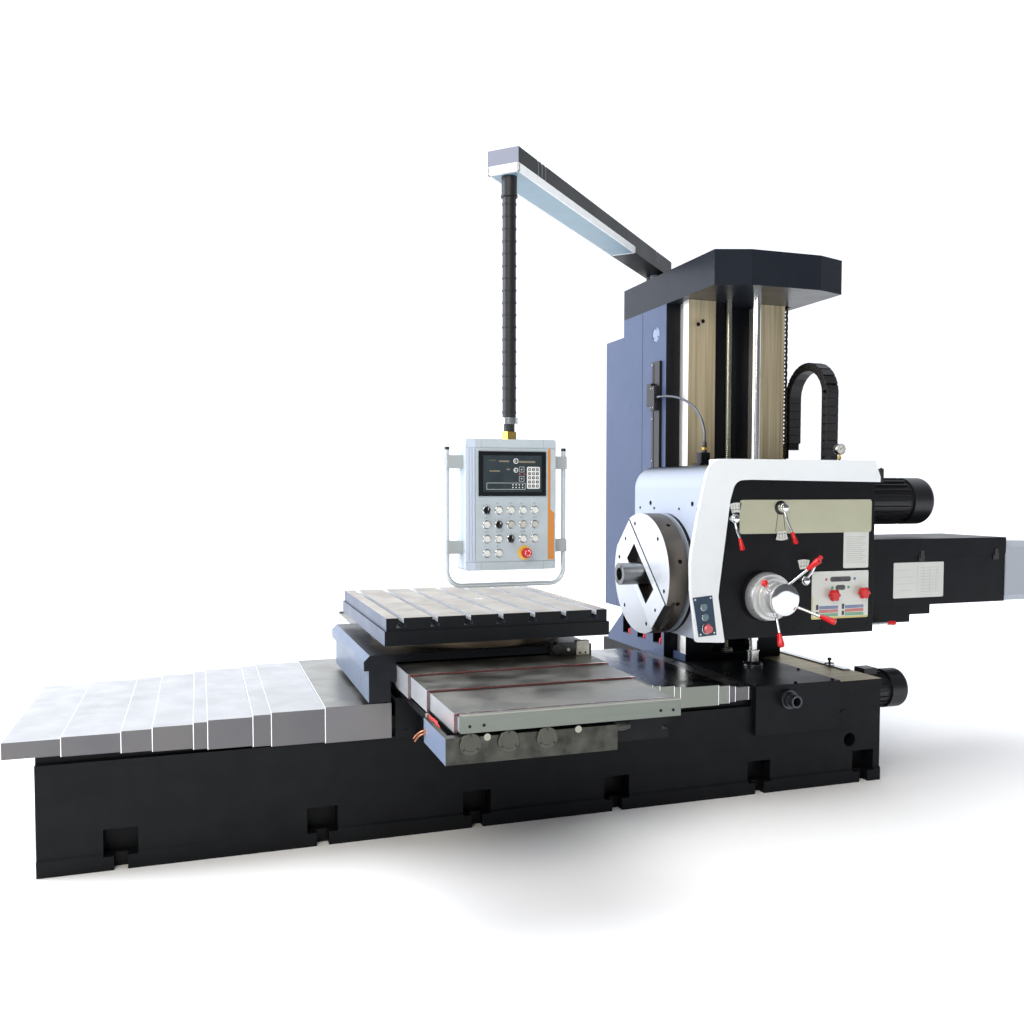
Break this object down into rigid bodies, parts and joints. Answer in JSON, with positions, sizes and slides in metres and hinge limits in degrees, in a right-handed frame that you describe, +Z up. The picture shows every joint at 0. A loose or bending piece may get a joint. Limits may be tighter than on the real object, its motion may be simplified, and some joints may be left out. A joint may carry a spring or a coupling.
{
  "type": "horizontal boring machine",
  "caption": "Table-type horizontal boring machine: long bed, cross-travelling rotary table, column with a headstock, facing head and a control box on a swivel arm.",
  "frame": {"origin": "centre of the underside of the long bed, on the floor", "axes": "+X along the bed towards the column, +Y away from the operator, +Z up"},
  "size_m": [5.095, 2.7, 2.85],
  "materials": {
    "bed": "semi-gloss black paint",
    "bed_gearbox": "semi-gloss black paint",
    "feed_motor": "semi-gloss black paint",
    "column": "slate-grey textured paint",
    "column_cap": "slate-grey textured paint",
    "rear_guard": "slate-grey textured paint",
    "column_fittings": "black moulded plastic",
    "cover_ends": "brushed sheet steel",
    "cable_chain_fixed": "black moulded plastic",
    "cable_chain_bend": "black moulded plastic",
    "cable_chain_moving": "black moulded plastic",
    "bed_screw": "ground and polished steel",
    "elevation_screw": "ground and polished steel",
    "drive_shaft": "ground and polished steel",
    "counterweight": "planed cast iron, bare",
    "chain_sprocket": "ground and polished steel",
    "lift_chain": "ground and polished steel",
    "reader_hose": "ground and polished steel",
    "headstock": "semi-gloss black paint",
    "front_shroud": "gloss white paint",
    "control_plates": "brushed sheet steel",
    "main_motor": "semi-gloss black paint",
    "tail_housing": "semi-gloss black paint",
    "tail_cap": "gloss white paint",
    "head_buttons": "black moulded plastic",
    "head_stop_button": "red moulded plastic",
    "lever_clutch": "ground and polished steel",
    "lever_speed": "ground and polished steel",
    "lever_feed": "ground and polished steel",
    "lever_lock": "ground and polished steel",
    "pilot_wheel": "ground and polished steel",
    "fine_feed_knob": "ground and polished steel",
    "speed_knob_left": "red moulded plastic",
    "speed_knob_right": "red moulded plastic",
    "spindle_carriage": "planed cast iron, bare",
    "spindle": "ground and polished steel",
    "faceplate": "planed cast iron, bare",
    "facing_slide": "ground and polished steel",
    "saddle": "semi-gloss black paint",
    "saddle_gearbox": "planed cast iron, bare",
    "cross_screw": "ground and polished steel",
    "saddle_covers": "brushed sheet steel",
    "cross_slide": "semi-gloss black paint",
    "slide_covers": "brushed sheet steel",
    "table": "planed cast iron, bare",
    "left_cover_1": "brushed sheet steel",
    "left_cover_2": "brushed sheet steel",
    "left_cover_3": "brushed sheet steel",
    "left_cover_4": "brushed sheet steel",
    "right_cover_1": "brushed sheet steel",
    "right_cover_2": "brushed sheet steel",
    "cross_cover": "brushed sheet steel",
    "pendant_arm": "semi-gloss black paint",
    "pendant_tube": "black moulded plastic",
    "pendant_box": "pale grey powder coat",
    "pendant_buttons": "ground and polished steel",
    "pendant_stop_button": "red moulded plastic",
    "selector_1": "black moulded plastic",
    "selector_2": "black moulded plastic",
    "selector_3": "black moulded plastic"
  },
  "bodies": {
    "base": {"bed": "bed", "bed_gearbox": "bed_gearbox", "feed_motor": "feed_motor", "column": "column", "column_cap": "column_cap", "rear_guard": "rear_guard", "column_fittings": "column_fittings", "cover_ends": "cover_ends", "cable_chain_fixed": "cable_chain_fixed", "lift_chain": "lift_chain", "reader_hose": "reader_hose"},
    "saddle": {"saddle": "saddle", "saddle_gearbox": "saddle_gearbox", "saddle_covers": "saddle_covers"},
    "cross_slide": {"cross_slide": "cross_slide", "slide_covers": "slide_covers"},
    "table": {"table": "table"},
    "left_cover_1": {"left_cover_1": "left_cover_1"},
    "left_cover_2": {"left_cover_2": "left_cover_2"},
    "left_cover_3": {"left_cover_3": "left_cover_3"},
    "left_cover_4": {"left_cover_4": "left_cover_4"},
    "right_cover_1": {"right_cover_1": "right_cover_1"},
    "right_cover_2": {"right_cover_2": "right_cover_2"},
    "cross_cover": {"cross_cover": "cross_cover"},
    "bed_screw": {"bed_screw": "bed_screw"},
    "cross_screw": {"cross_screw": "cross_screw"},
    "elevation_screw": {"elevation_screw": "elevation_screw"},
    "drive_shaft": {"drive_shaft": "drive_shaft"},
    "counterweight": {"counterweight": "counterweight"},
    "chain_sprocket": {"chain_sprocket": "chain_sprocket"},
    "cable_chain_bend": {"cable_chain_bend": "cable_chain_bend"},
    "headstock": {"headstock": "headstock", "front_shroud": "front_shroud", "control_plates": "control_plates", "main_motor": "main_motor", "tail_housing": "tail_housing", "tail_cap": "tail_cap", "cable_chain_moving": "cable_chain_moving"},
    "head_buttons": {"head_buttons": "head_buttons"},
    "head_stop_button": {"head_stop_button": "head_stop_button"},
    "lever_clutch": {"lever_clutch": "lever_clutch"},
    "lever_speed": {"lever_speed": "lever_speed"},
    "lever_feed": {"lever_feed": "lever_feed"},
    "lever_lock": {"lever_lock": "lever_lock"},
    "pilot_wheel": {"pilot_wheel": "pilot_wheel"},
    "fine_feed_knob": {"fine_feed_knob": "fine_feed_knob"},
    "speed_knob_left": {"speed_knob_left": "speed_knob_left"},
    "speed_knob_right": {"speed_knob_right": "speed_knob_right"},
    "spindle_carriage": {"spindle_carriage": "spindle_carriage"},
    "spindle": {"spindle": "spindle"},
    "faceplate": {"faceplate": "faceplate"},
    "facing_slide": {"facing_slide": "facing_slide"},
    "pendant_arm": {"pendant_arm": "pendant_arm", "pendant_tube": "pendant_tube"},
    "pendant_box": {"pendant_box": "pendant_box"},
    "pendant_buttons": {"pendant_buttons": "pendant_buttons"},
    "pendant_stop_button": {"pendant_stop_button": "pendant_stop_button"},
    "selector_1": {"selector_1": "selector_1"},
    "selector_2": {"selector_2": "selector_2"},
    "selector_3": {"selector_3": "selector_3"}
  },
  "joints": [
    {"name": "saddle_travel", "type": "slide", "parent": "base", "child": "saddle", "axis": [1, 0, 0], "range_m": [-0.9, 0.2]},
    {"name": "cross_travel", "type": "slide", "parent": "saddle", "child": "cross_slide", "axis": [0, 1, 0], "range_m": [-0.425, 0.425]},
    {"name": "table_turn", "type": "hinge", "parent": "cross_slide", "child": "table", "pos_m": [-0.153, -0.17, 0.85], "axis": [0, 0, 1], "continuous": true},
    {"name": "left_cover_1_travel", "type": "slide", "parent": "base", "child": "left_cover_1", "axis": [1, 0, 0], "range_m": [-0.1936, 0.0438]},
    {"name": "left_cover_2_travel", "type": "slide", "parent": "base", "child": "left_cover_2", "axis": [1, 0, 0], "range_m": [-0.3943, 0.0884]},
    {"name": "left_cover_3_travel", "type": "slide", "parent": "base", "child": "left_cover_3", "axis": [1, 0, 0], "range_m": [-0.5347, 0.1196]},
    {"name": "left_cover_4_travel", "type": "slide", "parent": "base", "child": "left_cover_4", "axis": [1, 0, 0], "range_m": [-0.6976, 0.1558]},
    {"name": "right_cover_1_travel", "type": "slide", "parent": "base", "child": "right_cover_1", "axis": [1, 0, 0], "range_m": [-0.658, 0.147]},
    {"name": "right_cover_2_travel", "type": "slide", "parent": "base", "child": "right_cover_2", "axis": [1, 0, 0], "range_m": [-0.334, 0.075]},
    {"name": "cross_cover_travel", "type": "slide", "parent": "saddle", "child": "cross_cover", "axis": [0, 1, 0], "range_m": [-0.236, 0.236]},
    {"name": "bed_screw_turn", "type": "hinge", "parent": "base", "child": "bed_screw", "pos_m": [0, 0, 0.42], "axis": [1, 0, 0], "range_deg": [-27005, 6005]},
    {"name": "cross_screw_turn", "type": "hinge", "parent": "saddle", "child": "cross_screw", "pos_m": [-0.153, -0.17, 0.654], "axis": [0, 1, 0], "range_deg": [-15305, 15305]},
    {"name": "headstock_lift", "type": "slide", "parent": "base", "child": "headstock", "axis": [0, 0, 1], "range_m": [0, 0.85], "deforming": ["lift_chain", "reader_hose", "cable_chain_fixed", "cable_chain_moving"]},
    {"name": "elevation_screw_turn", "type": "hinge", "parent": "base", "child": "elevation_screw", "pos_m": [1.49, 0.215, 1.5], "axis": [0, 0, 1], "range_deg": [-5, 30605]},
    {"name": "counterweight_travel", "type": "slide", "parent": "base", "child": "counterweight", "axis": [0, 0, 1], "range_m": [-0.851, 0.001]},
    {"name": "sprocket_turn", "type": "hinge", "parent": "base", "child": "chain_sprocket", "pos_m": [1.858, 0.315, 2.56], "axis": [1, 0, 0], "range_deg": [-490.01, 3]},
    {"name": "cable_loop_travel", "type": "slide", "parent": "base", "child": "cable_chain_bend", "axis": [0, 0, 1], "range_m": [-0.001, 0.426]},
    {"name": "drive_shaft_turn", "type": "hinge", "parent": "base", "child": "drive_shaft", "pos_m": [1.478, -0.08, 1.5], "axis": [0, 0, 1], "continuous": true},
    {"name": "head_buttons_press", "type": "slide", "parent": "headstock", "child": "head_buttons", "axis": [0, 1, 0], "range_m": [0, 0.004], "stiffness_N_per_m": 400, "springref_m": -0.002},
    {"name": "head_stop_press", "type": "slide", "parent": "headstock", "child": "head_stop_button", "axis": [0, 1, 0], "range_m": [0, 0.004], "stiffness_N_per_m": 500, "springref_m": -0.002},
    {"name": "lever_clutch_swing", "type": "hinge", "parent": "headstock", "child": "lever_clutch", "pos_m": [1.068, -0.52, 1.337], "axis": [0, 1, 0], "range_deg": [-30, 30]},
    {"name": "lever_speed_swing", "type": "hinge", "parent": "headstock", "child": "lever_speed", "pos_m": [1.335, -0.52, 1.387], "axis": [0, 1, 0], "range_deg": [-40, 40]},
    {"name": "lever_feed_swing", "type": "hinge", "parent": "headstock", "child": "lever_feed", "pos_m": [1.465, -0.52, 1.031], "axis": [0, 1, 0], "range_deg": [-30, 30]},
    {"name": "lever_lock_pull", "type": "slide", "parent": "headstock", "child": "lever_lock", "axis": [1, 0, 0], "range_m": [0, 0.03]},
    {"name": "pilot_wheel_turn", "type": "hinge", "parent": "headstock", "child": "pilot_wheel", "pos_m": [1.246, -0.6, 0.962], "axis": [0, 1, 0], "continuous": true},
    {"name": "fine_feed_turn", "type": "hinge", "parent": "pilot_wheel", "child": "fine_feed_knob", "pos_m": [1.246, -0.69, 0.962], "axis": [0, 1, 0], "continuous": true},
    {"name": "speed_knob_left_turn", "type": "hinge", "parent": "headstock", "child": "speed_knob_left", "pos_m": [1.633, -0.53, 0.954], "axis": [0, 1, 0], "range_deg": [-150, 150]},
    {"name": "speed_knob_right_turn", "type": "hinge", "parent": "headstock", "child": "speed_knob_right", "pos_m": [1.809, -0.53, 0.96], "axis": [0, 1, 0], "range_deg": [-150, 150]},
    {"name": "spindle_travel", "type": "slide", "parent": "headstock", "child": "spindle_carriage", "axis": [-1, 0, 0], "range_m": [0, 0.6]},
    {"name": "spindle_turn", "type": "hinge", "parent": "spindle_carriage", "child": "spindle", "pos_m": [1.7, -0.17, 1.056], "axis": [1, 0, 0], "continuous": true},
    {"name": "faceplate_turn", "type": "hinge", "parent": "headstock", "child": "faceplate", "pos_m": [0.8, -0.17, 1.056], "axis": [1, 0, 0], "continuous": true},
    {"name": "facing_travel", "type": "slide", "parent": "faceplate", "child": "facing_slide", "axis": [0, 0.7071, 0.7071], "range_m": [-0.09, 0.09]},
    {"name": "arm_swing", "type": "hinge", "parent": "base", "child": "pendant_arm", "pos_m": [1.304, 0.723, 2.72], "axis": [0, 0, 1], "range_deg": [-60, 50]},
    {"name": "box_turn", "type": "hinge", "parent": "pendant_arm", "child": "pendant_box", "pos_m": [-0.1053, -0.6863, 1.7], "axis": [0, 0, 1], "range_deg": [-150, 150]},
    {"name": "pendant_buttons_press", "type": "slide", "parent": "pendant_box", "child": "pendant_buttons", "axis": [0, 1, 0], "range_m": [0, 0.003], "stiffness_N_per_m": 500, "springref_m": -0.002},
    {"name": "pendant_stop_press", "type": "slide", "parent": "pendant_box", "child": "pendant_stop_button", "axis": [0, 1, 0], "range_m": [0, 0.004], "stiffness_N_per_m": 500, "springref_m": -0.002},
    {"name": "selector_1_turn", "type": "hinge", "parent": "pendant_box", "child": "selector_1", "pos_m": [-0.223, -0.75, 1.389], "axis": [0, 1, 0], "range_deg": [-45, 45]},
    {"name": "selector_2_turn", "type": "hinge", "parent": "pendant_box", "child": "selector_2", "pos_m": [-0.171, -0.75, 1.3305], "axis": [0, 1, 0], "range_deg": [-45, 45]},
    {"name": "selector_3_turn", "type": "hinge", "parent": "pendant_box", "child": "selector_3", "pos_m": [-0.119, -0.75, 1.272], "axis": [0, 1, 0], "range_deg": [-45, 45]}
  ],
  "couplings": [
    {"joint": "left_cover_1_travel", "follows": "saddle_travel", "ratio": 0.214},
    {"joint": "left_cover_2_travel", "follows": "saddle_travel", "ratio": 0.437},
    {"joint": "left_cover_3_travel", "follows": "saddle_travel", "ratio": 0.593},
    {"joint": "left_cover_4_travel", "follows": "saddle_travel", "ratio": 0.774},
    {"joint": "right_cover_1_travel", "follows": "saddle_travel", "ratio": 0.73},
    {"joint": "right_cover_2_travel", "follows": "saddle_travel", "ratio": 0.37},
    {"joint": "cross_cover_travel", "follows": "cross_travel", "ratio": 0.55},
    {"joint": "bed_screw_turn", "follows": "saddle_travel", "rad_per_m": 523.6},
    {"joint": "cross_screw_turn", "follows": "cross_travel", "rad_per_m": 628.32},
    {"joint": "elevation_screw_turn", "follows": "headstock_lift", "rad_per_m": 628.32},
    {"joint": "counterweight_travel", "follows": "headstock_lift", "ratio": -1},
    {"joint": "sprocket_turn", "follows": "headstock_lift", "rad_per_m": -10},
    {"joint": "cable_loop_travel", "follows": "headstock_lift", "ratio": 0.5}
  ]
}
